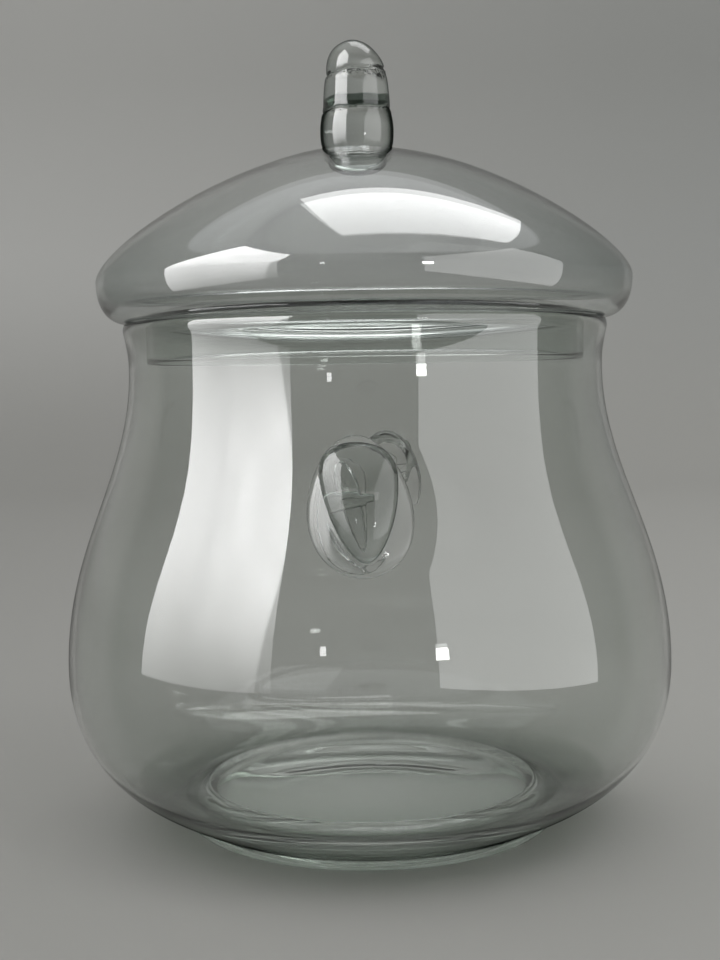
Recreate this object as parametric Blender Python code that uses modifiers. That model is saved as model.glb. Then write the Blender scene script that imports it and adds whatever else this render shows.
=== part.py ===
"""A lidded specimen jar in blown glass.

The jar is a pear-shaped body with a thick floor, standing on an applied foot ring, with two lug
handles pressed on to its shoulder. The lid is a mushroom dome that sits on the ground rim; a collar
under it drops into the mouth, and a solid knob is fused through its top.

Metres, +Z up. The origin is the middle of the foot ring's ground underside, and -Y is the front.
"""

import math

import bmesh
import bpy
from mathutils import Vector

MM = 0.001
GAP = 0.3 * MM  # between pieces that touch or are fused

# Turned sections, each point a (radius, height) in millimetres.
# Foot ring: an applied ring with its underside ground flat.
FOOT_TOP = 5.6  # height of the body's underside, where the ring is joined
FOOT_JOIN_R = 79.0
FOOT_GROUND_R = (68.0, 73.0)
FOOT_INNER_R = 65.5
FOOT_EDGE = 1.4  # roundness of its inner lower edge

# Jar body, outside
BASE_PULL = (93.9, 13.2)
BELLY = (125.2, 68.8)
BELLY_PULL_DOWN = 43.3
BELLY_PULL_UP = 51.0
WAIST = (97.7, 190.0)
WAIST_PULL_DOWN = 43.6
WAIST_PULL_UP = 4.0
LIP = (99.8, 205.3)
LIP_PULL = (98.1, 197.6)
RIM_TOP = 208.5
RIM_OUTER_R = 99.0
PUSH_UP = 5.0  # rise of the underside from the foot ring to the middle

# Jar body, inside
WALL = 2.2  # at belly and waist
LIP_WALL = 2.7
RIM_WALL = 1.6  # at the ground top
RIM_EDGE = 0.6  # how far the top's two edges are rounded
INNER_BASE_PULL = (96.0, 15.6)
MOAT = (80.0, 12.6)  # lowest ring of the inside, round the raised floor
FLOOR_EDGE_R = 69.5
FLOOR_EDGE_ROUND = 1.2
FLOOR_Z = 16.4

# Lid dome and collar
SEAT = RIM_TOP + GAP / MM
SHOULDER = (110.1, 225.1)
SHOULDER_PULL_UP = 13.8
SHOULDER_PULL_DOWN = 10.5
DOME_TOP = 280.3
DOME_TOP_PULL = 48.3
DOME_WALL = 3.0
CURL_R = 99.2  # where the rolled shoulder meets the rim
CURL_PULL_R = 105.6
COLLAR_OUTER_R = 90.4
COLLAR_WALL = 2.5
COLLAR_TOP = 205.0
COLLAR_BOTTOM = 193.0
THROAT_FILLET = 3.8
THROAT_CENTRE = (COLLAR_OUTER_R + THROAT_FILLET, SEAT - THROAT_FILLET)
COLLAR_EDGE = 0.5

# Knob
KNOB_X = -1.9  # its axis stands this far off the lid's
KNOB_HOLE_R = 12.0
HOLE_LIP = 4.0  # width of the dome's ring that stays with the hole
HOLE_DROP = 0.9  # how far the dome has dropped below its apex at the hole
KNOB_FOOT_R = 13.6
KNOB_BELLY = (15.2, 287.0)
KNOB_CREASES = ((13.8, 297.0), (12.4, 311.0))
CREASE_DEPTH = 0.35
KNOB_TOP = 324.0
KNOB_LEAN = 0.3  # sideways drift of its tip
KNOB_ROOT_BOTTOM = 270.4

# Handles: a pad pressed on the shoulder and a lug folded down over it
HANDLE_Z = 141.0
PAD_HALF_HEIGHT = 24.3
PAD_HALF_WIDTH = 18.5
PAD_THICK = 5.2
LUG_HALF_HEIGHT = 20.2
LUG_HALF_WIDTH = 11.9
LUG_HALF_THICK = 6.2
FRONT_TURN = 0.0  # degrees round the jar from its front
REAR_TURN = 176.7
REAR_DROP = 5.0

# Smoothness
TURNS = 64
KNOB_TURNS = 28

# Joint: the lid is lifted straight up, +Z, on the jar's axis

COLLECTION = "specimen_jar"
CUTTERS = "cutters"


def clear_scene():
    for obj in list(bpy.data.objects):
        bpy.data.objects.remove(obj, do_unlink=True)
    for name in (COLLECTION, CUTTERS):
        collection = bpy.data.collections.new(name)
        bpy.context.scene.collection.children.link(collection)


def glass(name, colour, roughness):
    """A clear glass with the faint green that its thick places show."""
    material = bpy.data.materials.new(name)
    material.use_nodes = True
    shader = material.node_tree.nodes["Principled BSDF"]
    shader.inputs["Base Color"].default_value = (*colour, 1.0)
    shader.inputs["Roughness"].default_value = roughness
    shader.inputs["Metallic"].default_value = 0.0
    shader.inputs["Transmission Weight"].default_value = 1.0
    shader.inputs["IOR"].default_value = 1.5
    material.diffuse_color = (*colour, 0.35)
    return material


def bezier(start, pull_a, pull_b, end, count):
    """Points of a cubic curve after its start, the end among them."""
    points = []
    for i in range(1, count + 1):
        t = i / count
        weights = ((1 - t) ** 3, 3 * t * (1 - t) ** 2, 3 * t * t * (1 - t), t**3)
        corners = (start, pull_a, pull_b, end)
        points.append(tuple(sum(w * c[k] for w, c in zip(weights, corners)) for k in (0, 1)))
    return points


def arc(centre, radius, start_deg, end_deg, count):
    """Points on a circle, both ends among them; 0 degrees points away from the axis, 90 up."""
    points = []
    for i in range(count + 1):
        angle = math.radians(start_deg + (end_deg - start_deg) * i / count)
        points.append((centre[0] + radius * math.cos(angle), centre[1] + radius * math.sin(angle)))
    return points


def body_outside():
    """The jar's outer line, from the foot up to the lip."""
    start = (FOOT_JOIN_R, FOOT_TOP)
    line = [start]
    line += bezier(start, BASE_PULL, (BELLY[0], BELLY[1] - BELLY_PULL_DOWN), BELLY, 9)
    line += bezier(
        BELLY,
        (BELLY[0], BELLY[1] + BELLY_PULL_UP),
        (WAIST[0], WAIST[1] - WAIST_PULL_DOWN),
        WAIST,
        9,
    )
    line += bezier(WAIST, (WAIST[0], WAIST[1] + WAIST_PULL_UP), LIP_PULL, LIP, 3)
    return line


def body_inside():
    """The jar's inner line, from the rim down to the middle of the floor."""
    rim_r = RIM_OUTER_R - RIM_WALL
    lip = (LIP[0] - LIP_WALL, LIP[1])
    lip_pull = (LIP_PULL[0] - LIP_WALL, LIP_PULL[1])
    waist = (WAIST[0] - WALL, WAIST[1])
    belly = (BELLY[0] - WALL, BELLY[1] + 1.0)
    line = [(rim_r + RIM_EDGE, RIM_TOP), (rim_r, RIM_TOP - RIM_EDGE), lip]
    line += bezier(lip, lip_pull, (waist[0], waist[1] + WAIST_PULL_UP), waist, 3)
    line += bezier(
        waist,
        (waist[0], waist[1] - WAIST_PULL_DOWN),
        (belly[0], belly[1] + BELLY_PULL_UP),
        belly,
        8,
    )
    line += bezier(belly, (belly[0], belly[1] - BELLY_PULL_DOWN + 2), INNER_BASE_PULL, MOAT, 7)
    edge_centre = (FLOOR_EDGE_R - FLOOR_EDGE_ROUND, FLOOR_Z - FLOOR_EDGE_ROUND)
    edge = arc(edge_centre, FLOOR_EDGE_ROUND, 30, 90, 2)
    line += bezier(MOAT, (MOAT[0] - 6, MOAT[1] - 0.4), (FLOOR_EDGE_R + 0.8, FLOOR_Z - 2.2), edge[0], 4)
    return line + edge[1:] + [(0.0, FLOOR_Z)]


def body_profile():
    """Inner floor, inner wall, rim, outer wall, underside: closed on the axis at both ends."""
    upward = list(reversed(body_inside()))
    downward = list(reversed(body_outside()))
    rim = [(RIM_OUTER_R - RIM_EDGE, RIM_TOP), (RIM_OUTER_R, RIM_TOP - RIM_EDGE)]
    underside = (FOOT_INNER_R, FOOT_TOP)
    middle = (0.0, FOOT_TOP + PUSH_UP)
    hollow = bezier(underside, (FOOT_INNER_R * 0.7, FOOT_TOP), (FOOT_INNER_R * 0.4, middle[1]), middle, 6)
    return upward + rim + downward + [underside] + hollow


def foot_profile():
    top = FOOT_TOP - GAP / MM
    corner = (FOOT_JOIN_R - GAP / MM, top)
    outer = bezier(corner, (FOOT_JOIN_R - 0.4, 2.2), (76.6, 0.4), (FOOT_GROUND_R[1], 0.0), 4)
    inner = arc((FOOT_GROUND_R[0], FOOT_EDGE), FOOT_EDGE, -90, -180, 2)
    return [(FOOT_INNER_R + 0.2, top), corner] + outer + inner


def dome_profile():
    """From the hole for the knob down the outside, round the curl and throat, and up the inside."""
    apex = (0.0, DOME_TOP)
    shoulder_up = (SHOULDER[0], SHOULDER[1] + SHOULDER_PULL_UP)
    shoulder_down = (SHOULDER[0], SHOULDER[1] - SHOULDER_PULL_DOWN)
    outside = bezier(apex, (DOME_TOP_PULL, DOME_TOP), shoulder_up, SHOULDER, 13)
    outside = [p for p in outside if p[0] > KNOB_HOLE_R + HOLE_LIP]
    curl = bezier(SHOULDER, shoulder_down, (CURL_PULL_R, SEAT + 0.5), (CURL_R, SEAT), 5)
    throat = arc(THROAT_CENTRE, THROAT_FILLET, 90, 180, 3)
    inner_throat = arc(THROAT_CENTRE, THROAT_FILLET + COLLAR_WALL, 180, 90, 4)
    inner_shoulder = (SHOULDER[0] - DOME_WALL, SHOULDER[1])
    inner_down = (inner_shoulder[0], shoulder_down[1] + 2.0)
    inner_up = (inner_shoulder[0], shoulder_up[1] - 1.5)
    inner_top = (0.0, DOME_TOP - DOME_WALL)
    inner_curl_pull = (CURL_PULL_R - 1.6, inner_throat[-1][1] + 0.3)
    inner_curl = bezier(inner_throat[-1], inner_curl_pull, inner_down, inner_shoulder, 5)
    inside = bezier(inner_shoulder, inner_up, (DOME_TOP_PULL - 1.0, inner_top[1]), inner_top, 12)
    inside = [p for p in inside if p[0] > KNOB_HOLE_R + HOLE_LIP]
    hole_r = KNOB_HOLE_R + GAP / MM
    hole_top = (hole_r, DOME_TOP - HOLE_DROP)
    hole_bottom = (hole_r, inner_top[1] - HOLE_DROP)
    return [hole_top] + outside + curl + throat + inner_throat + inner_curl + inside + [hole_bottom]


def collar_profile():
    top = COLLAR_TOP - GAP / MM
    inner_r = COLLAR_OUTER_R - COLLAR_WALL
    edge = COLLAR_EDGE
    return [
        (inner_r, top),
        (COLLAR_OUTER_R, top),
        (COLLAR_OUTER_R, COLLAR_BOTTOM + edge),
        (COLLAR_OUTER_R - edge, COLLAR_BOTTOM),
        (inner_r + edge, COLLAR_BOTTOM),
        (inner_r, COLLAR_BOTTOM + edge),
    ]


def knob_profile():
    """Cap, two swellings and foot of the knob, then its root through the dome and the drop below."""
    (upper_r, upper_z), (lower_r, lower_z) = reversed(KNOB_CREASES)
    cap = bezier((0.0, KNOB_TOP), (8.2, KNOB_TOP), (upper_r + 0.1, 318.5), (upper_r, upper_z + 1), 5)
    groove_a = [(upper_r - CREASE_DEPTH, upper_z)]
    middle = bezier(
        (upper_r, upper_z - 0.8), (upper_r + 0.9, 306.5), (lower_r + 0.4, 301), (lower_r, lower_z + 0.8), 3
    )
    groove_b = [(lower_r - CREASE_DEPTH, lower_z)]
    foot_z = DOME_TOP - 1.0 + GAP / MM
    belly = bezier(
        (lower_r + 0.1, lower_z - 0.9), (lower_r + 1.2, 292.5), (KNOB_BELLY[0], 290), KNOB_BELLY, 3
    )
    belly += bezier(KNOB_BELLY, (KNOB_BELLY[0], 283), (14.9, foot_z + 0.6), (KNOB_FOOT_R, foot_z), 3)
    root_top = DOME_TOP - DOME_WALL - 1.2
    root = bezier(
        (KNOB_HOLE_R, root_top - 0.2),
        (KNOB_HOLE_R - 0.3, KNOB_ROOT_BOTTOM + 1.6),
        (6.6, KNOB_ROOT_BOTTOM),
        (0.0, KNOB_ROOT_BOTTOM),
        5,
    )
    start = [(0.0, KNOB_TOP)]
    upper = [(upper_r, upper_z - 0.8)]
    lower = [(lower_r + 0.1, lower_z - 0.9)]
    neck = [(KNOB_HOLE_R, foot_z), (KNOB_HOLE_R, root_top - 0.2)]
    return start + cap + groove_a + upper + middle + groove_b + lower + belly + neck + root


def turned(name, profile, steps, material, closed, collection=COLLECTION):
    """A solid turned about the Z axis from points that run down its outer side."""
    mesh = bpy.data.meshes.new(name)
    points = [(radius * MM, 0.0, height * MM) for radius, height in profile]
    count = len(points)
    edges = [(i, i + 1) for i in range(count - 1)]
    if closed:
        edges.append((count - 1, 0))
    mesh.from_pydata(points, edges, [])
    obj = bpy.data.objects.new(name, mesh)
    bpy.data.collections[collection].objects.link(obj)
    screw = obj.modifiers.new("Turn", "SCREW")
    screw.axis = "Z"
    screw.angle = math.tau
    screw.steps = steps
    screw.render_steps = steps
    screw.use_merge_vertices = True
    screw.merge_threshold = 0.00001
    screw.use_smooth_shade = True
    obj.data.materials.append(material)
    return obj


def settled(obj):
    """Turns an object's modifiers into plain mesh, so that its points can be moved."""
    bpy.context.view_layer.update()
    graph = bpy.context.evaluated_depsgraph_get()
    mesh = bpy.data.meshes.new_from_object(obj.evaluated_get(graph))
    obj.modifiers.clear()
    obj.data = mesh
    return obj


def body_surface(height):
    """Radius of the body's outside at a height, and the outward slope (radial, upward) there."""
    line = body_outside()
    for (r0, z0), (r1, z1) in zip(line, line[1:]):
        if z0 <= height <= z1:
            share = (height - z0) / (z1 - z0)
            rise = Vector((z1 - z0, r0 - r1)).normalized()
            return r0 + (r1 - r0) * share, rise
    raise ValueError("height is off the body")


def on_body(across, up, out, turn, drop):
    """A point given in millimetres across, up and out from a handle's middle, on the jar's side."""
    height = HANDLE_Z - drop + up
    radius, slope = body_surface(height)
    angle = math.radians(turn - 90.0) + across / radius
    reach = radius + out * slope[0]
    lift = height + out * slope[1]
    return Vector((reach * math.cos(angle), reach * math.sin(angle), lift)) * MM


def pad_shape(x, y, z):
    """An egg-shaped pad, wider below, flat at the back."""
    across = (PAD_HALF_WIDTH - 3.0 * y) * x - 3.2 - 1.2 * y
    out = GAP / MM + PAD_THICK * max(z, 0.0)
    return across, PAD_HALF_HEIGHT * y, out


def lug_shape(x, y, z):
    """A tongue of glass, broad and proud at the top, that narrows to a tip on the pad."""
    width = LUG_HALF_WIDTH + 3.4 * y + 4.0 * max(y, 0.0) ** 2
    across = width * x - 2.6 - 1.6 * y
    middle = 7.2 + 2.0 * y - 1.6 * max(y, 0.0) ** 2
    out = middle + (LUG_HALF_THICK + 0.4 * y) * z
    return across, LUG_HALF_HEIGHT * y, max(out, GAP / MM + 0.4)


def slit_shape(x, y, z):
    """The slit left between lug and pad, open on the jar's left and closing to the right."""
    across = -8.3 + 12.0 * x
    up = 0.4 + 4.2 * y * (1.0 - 0.35 * x) + 0.1 * across
    return across, up, 6.2 + 0.8 * z


def blob(name, shape, turn, drop, segments, rings, collection):
    """A ball whose points are carried to a shape and laid on the jar's side."""
    mesh = bpy.data.meshes.new(name)
    cage = bmesh.new()
    bmesh.ops.create_uvsphere(cage, u_segments=segments, v_segments=rings, radius=1.0)
    for vert in cage.verts:
        vert.co = on_body(*shape(*vert.co), turn, drop)
    cage.to_mesh(mesh)
    cage.free()
    mesh.shade_smooth()
    obj = bpy.data.objects.new(name, mesh)
    bpy.data.collections[collection].objects.link(obj)
    if collection == CUTTERS:
        obj.hide_render = True
        obj.display_type = "WIRE"
    return obj


def combine(obj, operation, other):
    step = obj.modifiers.new(operation.title(), "BOOLEAN")
    step.operation = operation
    step.solver = "EXACT"
    step.object = other


def make_handle(name, turn, drop, material):
    handle = blob(name, pad_shape, turn, drop, 24, 12, COLLECTION)
    lug = blob(name + "_lug_form", lug_shape, turn, drop, 20, 12, CUTTERS)
    slit = blob(name + "_slit_form", slit_shape, turn, drop, 16, 6, CUTTERS)
    combine(handle, "UNION", lug)
    combine(handle, "DIFFERENCE", slit)
    handle.data.materials.append(material)
    return handle


def make_knob(material):
    """The knob is turned, then its tip drifts to one side, as hot glass does."""
    knob = settled(turned("knob", knob_profile(), KNOB_TURNS, material, closed=False))
    start = KNOB_CREASES[0][1] * MM
    reach = KNOB_TOP * MM - start
    for vert in knob.data.vertices:
        share = max(vert.co.z - start, 0.0) / reach
        vert.co.x -= KNOB_LEAN * MM * share * share
    knob.location.x = KNOB_X * MM
    return knob


def make_dome(material):
    """The dome, with its hole moved over to the knob's axis."""
    dome = settled(turned("lid_dome", dome_profile(), TURNS, material, closed=True))
    for vert in dome.data.vertices:
        if math.hypot(vert.co.x, vert.co.y) < (KNOB_HOLE_R + HOLE_LIP / 2) * MM:
            vert.co.x += KNOB_X * MM
    return dome


def main():
    clear_scene()
    clear = glass("clear_glass", (0.93, 0.96, 0.94), 0.02)
    thick = glass("thick_glass", (0.80, 0.90, 0.84), 0.03)
    lug = glass("lug_glass", (0.88, 0.94, 0.90), 0.03)
    lid = glass("lid_glass", (0.93, 0.96, 0.94), 0.02)
    ground = glass("collar_glass", (0.90, 0.94, 0.92), 0.05)
    knob_glass = glass("knob_glass", (0.84, 0.92, 0.87), 0.03)
    turned("jar_body", body_profile(), TURNS, clear, closed=False)
    turned("foot_ring", foot_profile(), TURNS, thick, closed=True)
    make_handle("handle_front", FRONT_TURN, 0.0, lug)
    make_handle("handle_rear", REAR_TURN, REAR_DROP, lug)
    dome = make_dome(lid)
    collar = turned("lid_collar", collar_profile(), TURNS, ground, closed=True)
    knob = make_knob(knob_glass)
    lift = bpy.data.objects.new("lid_lift_axis", None)
    bpy.data.collections[COLLECTION].objects.link(lift)
    for piece in (dome, collar, knob):
        piece.parent = lift


main()
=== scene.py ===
"""Looks for the glass specimen jar.

Every glass gather of the jar and its lid is a closed piece of its own, built finely from the same
sections as the CAD solid that it stands for. Where two gathers are fused, both pieces carry clear
seam faces, so that light passes from one to the next as it does inside one body of glass. Only at
the foot ring does the body keep a face of glass against the ring's clear one.

The jar's sizes are in millimetres, its sections as (radius, height), and become metres when a mesh
is made. The lights, the paper and the glass's ripples are in metres. The last number in a call of
bezier, arc or straight says how many pieces the line is cut into.
"""

import math
from collections import namedtuple

import bmesh
import bpy
from mathutils import Matrix, Vector, noise
from mathutils.bvhtree import BVHTree


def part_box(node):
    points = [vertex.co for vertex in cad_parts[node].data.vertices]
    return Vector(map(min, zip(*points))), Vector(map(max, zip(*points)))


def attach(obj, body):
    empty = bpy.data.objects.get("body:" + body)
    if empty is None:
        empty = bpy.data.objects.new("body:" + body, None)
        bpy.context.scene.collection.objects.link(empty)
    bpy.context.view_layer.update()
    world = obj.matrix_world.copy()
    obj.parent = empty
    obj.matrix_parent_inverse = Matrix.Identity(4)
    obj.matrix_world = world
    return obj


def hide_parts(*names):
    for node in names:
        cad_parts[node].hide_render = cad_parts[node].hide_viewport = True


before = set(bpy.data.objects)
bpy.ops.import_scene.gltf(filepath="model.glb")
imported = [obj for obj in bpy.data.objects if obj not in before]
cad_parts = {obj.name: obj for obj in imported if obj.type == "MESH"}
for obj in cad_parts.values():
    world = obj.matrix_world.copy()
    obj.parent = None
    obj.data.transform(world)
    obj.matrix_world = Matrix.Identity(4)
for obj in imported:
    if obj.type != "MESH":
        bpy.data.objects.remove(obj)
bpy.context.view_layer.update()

MM = 0.001
GLASS, SEAM = 0, 1  # material slots of every glass piece
PAPER = 0  # material slot of the backdrop
TINY = 1e-6  # a length that counts as none, in millimetres


def low(node, axis):
    """A CAD node's lowest coordinate on an axis, in millimetres."""
    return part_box(node)[0][axis] / MM


def high(node, axis):
    """A CAD node's highest coordinate on an axis, in millimetres."""
    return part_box(node)[1][axis] / MM


# Sizes read from the CAD nodes
FUSE_GAP = 0.3  # what the CAD solids leave between fused gathers, and the pieces here close
BELLY_R = high("jar_body", 0)
RIM_TOP = high("jar_body", 2)
FOOT_TOP = low("jar_body", 2)
FOOT_JOIN_R = high("foot_ring", 0) + FUSE_GAP
SHOULDER_R = high("lid_dome", 0)
COLLAR_TOP = low("lid_dome", 2)
COLLAR_OUTER_R = high("lid_collar", 0)
COLLAR_BOTTOM = low("lid_collar", 2)
KNOB_X = (low("knob", 0) + high("knob", 0)) / 2
KNOB_BELLY_R = high("knob", 1)
KNOB_TOP = high("knob", 2)
KNOB_ROOT_BOTTOM = low("knob", 2)

# Foot ring
FOOT_GROUND_R = (68.0, 73.0)
FOOT_INNER_R = 65.5
FOOT_EDGE = 1.4
FOOT_OUTER_PULLS = ((FOOT_JOIN_R - 0.9, 2.6), (76.6, 0.3))
FOOT_INNER_PULLS = ((FOOT_INNER_R + 0.8, 3.0), (FOOT_INNER_R, 4.2))

# Jar body, outside
BASE_PULL = (93.9, 13.2)
BELLY = (BELLY_R, 68.8)
BELLY_PULL_DOWN = 43.3
BELLY_PULL_UP = 51.0
WAIST = (97.7, 190.0)
WAIST_PULL_DOWN = 43.6
WAIST_PULL_UP = 4.0
LIP = (99.8, 205.3)
LIP_PULL = (98.1, 197.6)
LIP_PULL_UP = 2.0
RIM_OUTER_R = 99.0
RIM_EDGE = 0.7
RIM_PULL = (RIM_OUTER_R + 0.3, RIM_TOP)
PUSH_UP = 5.0
PUSH_UP_PULLS = ((FOOT_INNER_R * 0.7, FOOT_TOP), (FOOT_INNER_R * 0.4, FOOT_TOP + PUSH_UP))

# Jar body, inside
WALL = 2.2
RIM_WALL = 1.6
LIP_WALL = 2.7
INNER_BELLY_RISE = 1.0  # how much higher the belly is inside than outside
INNER_BELLY_EASE = 2.0  # how much shorter its downward pull is
INNER_BASE_PULL = (96.0, 15.6)
MOAT = (80.0, 12.6)
MOAT_PULL = (MOAT[0] - 6.0, MOAT[1] - 0.4)
FLOOR_EDGE_R = 69.5
FLOOR_EDGE_ROUND = 1.2
FLOOR_Z = 16.4
FLOOR_EDGE_PULL = (FLOOR_EDGE_R + 0.8, FLOOR_Z - 2.2)

# Lid dome and collar
SEAT = RIM_TOP + FUSE_GAP
SHOULDER = (SHOULDER_R, 225.1)
SHOULDER_PULL_UP = 13.8
SHOULDER_PULL_DOWN = 10.5
DOME_TOP = 280.3
DOME_TOP_PULL = 48.3
DOME_WALL = 3.0
DOME_INNER_EASE = (2.0, 1.5, 1.0)  # how much shorter the inner pulls are: down, up, at the top
CURL_R = 99.2
CURL_PULL_R = 105.6
CURL_PULL_UP = 0.5
CURL_INNER_PULL_R = CURL_PULL_R - 1.6
CURL_INNER_PULL_UP = 0.3
CROWN_REACH = 34.0  # how far out from the knob's foot the crown is moved over with it
COLLAR_WALL = 2.5
COLLAR_EDGE = 0.9
THROAT_FILLET = 3.8
THROAT_CENTRE = (COLLAR_OUTER_R + THROAT_FILLET, SEAT - THROAT_FILLET)

# Knob, from its foot up; the waists are where its swellings meet
KNOB_FOOT_R = 13.6
KNOB_FOOT_PULL_R = 14.9
KNOB_FOOT_PULL_UP = 1.0
KNOB_ROOT_R = 12.4
KNOB_ROOT_PULLS = ((KNOB_ROOT_R - 0.3, KNOB_ROOT_BOTTOM + 1.6), (6.6, KNOB_ROOT_BOTTOM))
KNOB_BELLY = (KNOB_BELLY_R, 287.0)
KNOB_BELLY_PULL_Z = 283.5
KNOB_WAIST_LOW = (13.8, 297.0)
KNOB_WAIST_HIGH = (12.4, 311.0)
KNOB_LOW_PULLS = ((KNOB_WAIST_LOW[0] + 0.9, 292.5), (KNOB_BELLY_R, 290.5))
KNOB_MIDDLE_PULLS = ((KNOB_WAIST_HIGH[0] + 0.9, 306.5), (KNOB_WAIST_LOW[0] - 0.1, 301.0))
KNOB_CAP_PULLS = ((8.2, KNOB_TOP), (KNOB_WAIST_HIGH[0] + 0.3, 319.0))
KNOB_CORE_R = 4.0  # nothing is pressed in nearer the axis than this
KNOB_LEAN = 0.3
KNOB_SIDE_BLEND = 14.0  # width over which the cap's left side turns into its right side
CAP_STEP = 0.8  # height over which the cap is set over from the swelling below it
CAP_SET_IN = 0.7  # how far its right side is set in
CAP_SHIFT = 0.2  # how far the whole of it is set to the right
CAP_SLOPE = 1.8  # how far its right side is pared away towards the top
CAP_SLOPE_START = 1.0  # how far above its waist the paring starts
CAP_SLOPE_REACH = 9.0

# The knob's creases: each tilts and wanders round the knob, and is flanked by small chips
CREASE_DROP = 1.7  # how far below its waist the lower crease is pressed in
Crease = namedtuple("Crease", "height tilt phase depth width chips_below chips_reach chips_depth")
LOWER_CREASE = Crease(
    height=KNOB_WAIST_LOW[1] - CREASE_DROP,
    tilt=0.6,
    phase=2.1,
    depth=0.7,
    width=0.5,
    chips_below=0.6,
    chips_reach=0.8,
    chips_depth=0.3,
)
UPPER_CREASE = Crease(
    height=KNOB_WAIST_HIGH[1],
    tilt=1.0,
    phase=0.6,
    depth=0.8,
    width=0.6,
    chips_below=1.2,
    chips_reach=1.6,
    chips_depth=0.7,
)
CREASE_WAVES = ((0.35, 3, 1), (0.22, 7, 2))  # swing, waves round the knob, times the phase
CHIPS_PER_METRE = 400.0
CHIPS_UPRIGHT = 0.6  # how much less often they change upwards than sideways

# Handles
HANDLE_Z = 141.0
HANDLE_VOXEL = 0.5
PAD_HALF_HEIGHT = 24.3
PAD_HALF_WIDTH = 18.5
PAD_TAPER = 3.0  # how much of the half width it loses towards the top
PAD_LEFT = 3.2
PAD_SHEAR = 1.2
PAD_THICK = 5.2
PAD_BACK_FLAT = 2.0  # the back would reach this many times its depth if it weren't cut off flat
LUG_HALF_HEIGHT = 20.2
LUG_HALF_WIDTH = 11.9
LUG_TAPER = 3.4  # how much of the half width it loses towards the tip
LUG_FLARE = 4.0  # how much it gains again towards the top
LUG_LEFT = 2.6
LUG_SHEAR = 1.6
LUG_OUT = 7.2  # how far out its middle lies
LUG_RISE = 2.0  # how much further out its top is, before it falls back
LUG_TOP_FALL = 1.6
LUG_HALF_THICK = 6.2
LUG_FATTEN = 0.4
LUG_BACK = 0.7  # how near it comes to the wall
SLIT_MIDDLE = (-8.3, 0.4, 6.2)  # across, up and out
SLIT_HALF = (12.0, 4.2, 0.8)  # half sizes, in the same order
SLIT_TAPER = 0.35  # share of its height that it loses towards the right
SLIT_SLANT = 0.1
ROOT_DEPTH = 0.5  # how far a handle's back is sunk into the body's wall before they are parted
REAR_DROP = 5.0
REAR_TINT = 0.35  # share of the front handle's tint and edge darkening that the rear handle keeps: painted light, as it is the same glass
HANDLES = (("front", 0.0, 0.0), ("rear", 176.7, REAR_DROP))  # name, turn in degrees, drop

# Colours that a millimetre of glass leaves of the light
GREEN = (0.936, 0.9445, 0.937)
GREY = (0.934, 0.940, 0.935)
PALE_GREEN = (0.948, 0.954, 0.952)
DENSE = (0.986, 0.9875, 0.9865)
PAINTED_EDGE_SHADE = (0.012, 0.015, 0.012)  # colour of the painted shade laid where glass is seen edge-on
PAINTED_EDGE_SHADE_MOST = 0.92  # how much of a face's own light the painted shade can take
GLASS_IOR = 1.5
HEAVY_SHARES = (1.0, 1.5)  # edge shares between which a wall turns into a heavy base
PALE_FADE = 0.1
SMUDGED = (0.45, 0.8)  # noise between which the skin turns from clean to smudged
SKIN_OFFSET = 0.0001  # metres below a face from which its depth is measured

# Tints by place, painted light and shade among them: a (start, reach) pair is where a change starts and
# over how much it runs
DEEPEST = 30.0  # the most glass, in millimetres, that the tint counts
FLOOR_TINT = 0.35  # share of its tint that the floor keeps: painted light against the shade under the jar
OFF_FLOOR = (FLOOR_EDGE_R, 6.0)  # radius
BASE_DEPTH = 1.5  # millimetres of glass that the heavy base counts besides its own
ABOVE_BASE = (18.0, 24.0)  # height, as all the pairs below
BASE_EDGE = 2.4  # how much more strongly than the sides the base is darkened, partly with painted shade, where it is seen edge-on
ABOVE_HEEL = (10.0, 18.0)
RIM_DEPTH = 4.0  # millimetres of glass that the rolled rim counts besides its own
AT_RIM = (RIM_TOP - 3.0, 2.0)
LOW_SIDE_EDGE = 0.15  # share of the edge darkening, partly painted shade, just above the base
UP_THE_SIDE = (48.0, 20.0)
NECK_LOSS = 0.5  # share of the edge darkening, partly painted shade, that the neck loses
UP_THE_NECK = (185.0, 15.0)
CROWN_LOSS = 0.8  # and that the lid's crown loses
UP_THE_CROWN = (SHOULDER[1] + 8.0, 25.0)
SHADE_BAND_HEIGHT = 4.6  # how far the knob's painted band of shade reaches up from the lower crease
SHADE_BAND_DEPTH = 210.0  # millimetres of glass that the painted band of shade counts besides its own
SHADE_BAND_FADES = (0.6, 0.7)  # over how much the painted band of shade fades in at its foot and out at its top
UPPER_KNOB_LOSS = 0.85  # share of the edge darkening, partly painted shade, that the knob loses above its foot
PAST_LOWER_CREASE = (-1.0, 1.5)  # height above the lower crease

# Backdrop, in millimetres, and the colours of its paper, left and right, into which light and shade are
# painted
FLOOR_R = 1900.0
BACKDROP_BEND = 900.0
BACKDROP_TOP = 3200.0
PAPER_LEFT = (0.455, 0.45, 0.43)
PAPER_RIGHT = (0.53, 0.525, 0.50)
# painted light on the paper inside the foot ring, where the glass shades it
PAPER_UNDER = (0.93, 0.93, 0.90)
WALL_LEFT = (0.70, 0.695, 0.675)
WALL_RIGHT = (0.53, 0.535, 0.52)
WALL_HALF_WIDTH = 1.0  # metres to each side over which the wall's colour changes
FLOOR_HALF_WIDTH = 0.5
UNDER_JAR = (0.06, 0.07)  # distances from the axis between which the paper under the jar ends
FLOOR_TO_WALL = (0.0, 0.5)  # heights between which the floor's paper turns into the wall's

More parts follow.
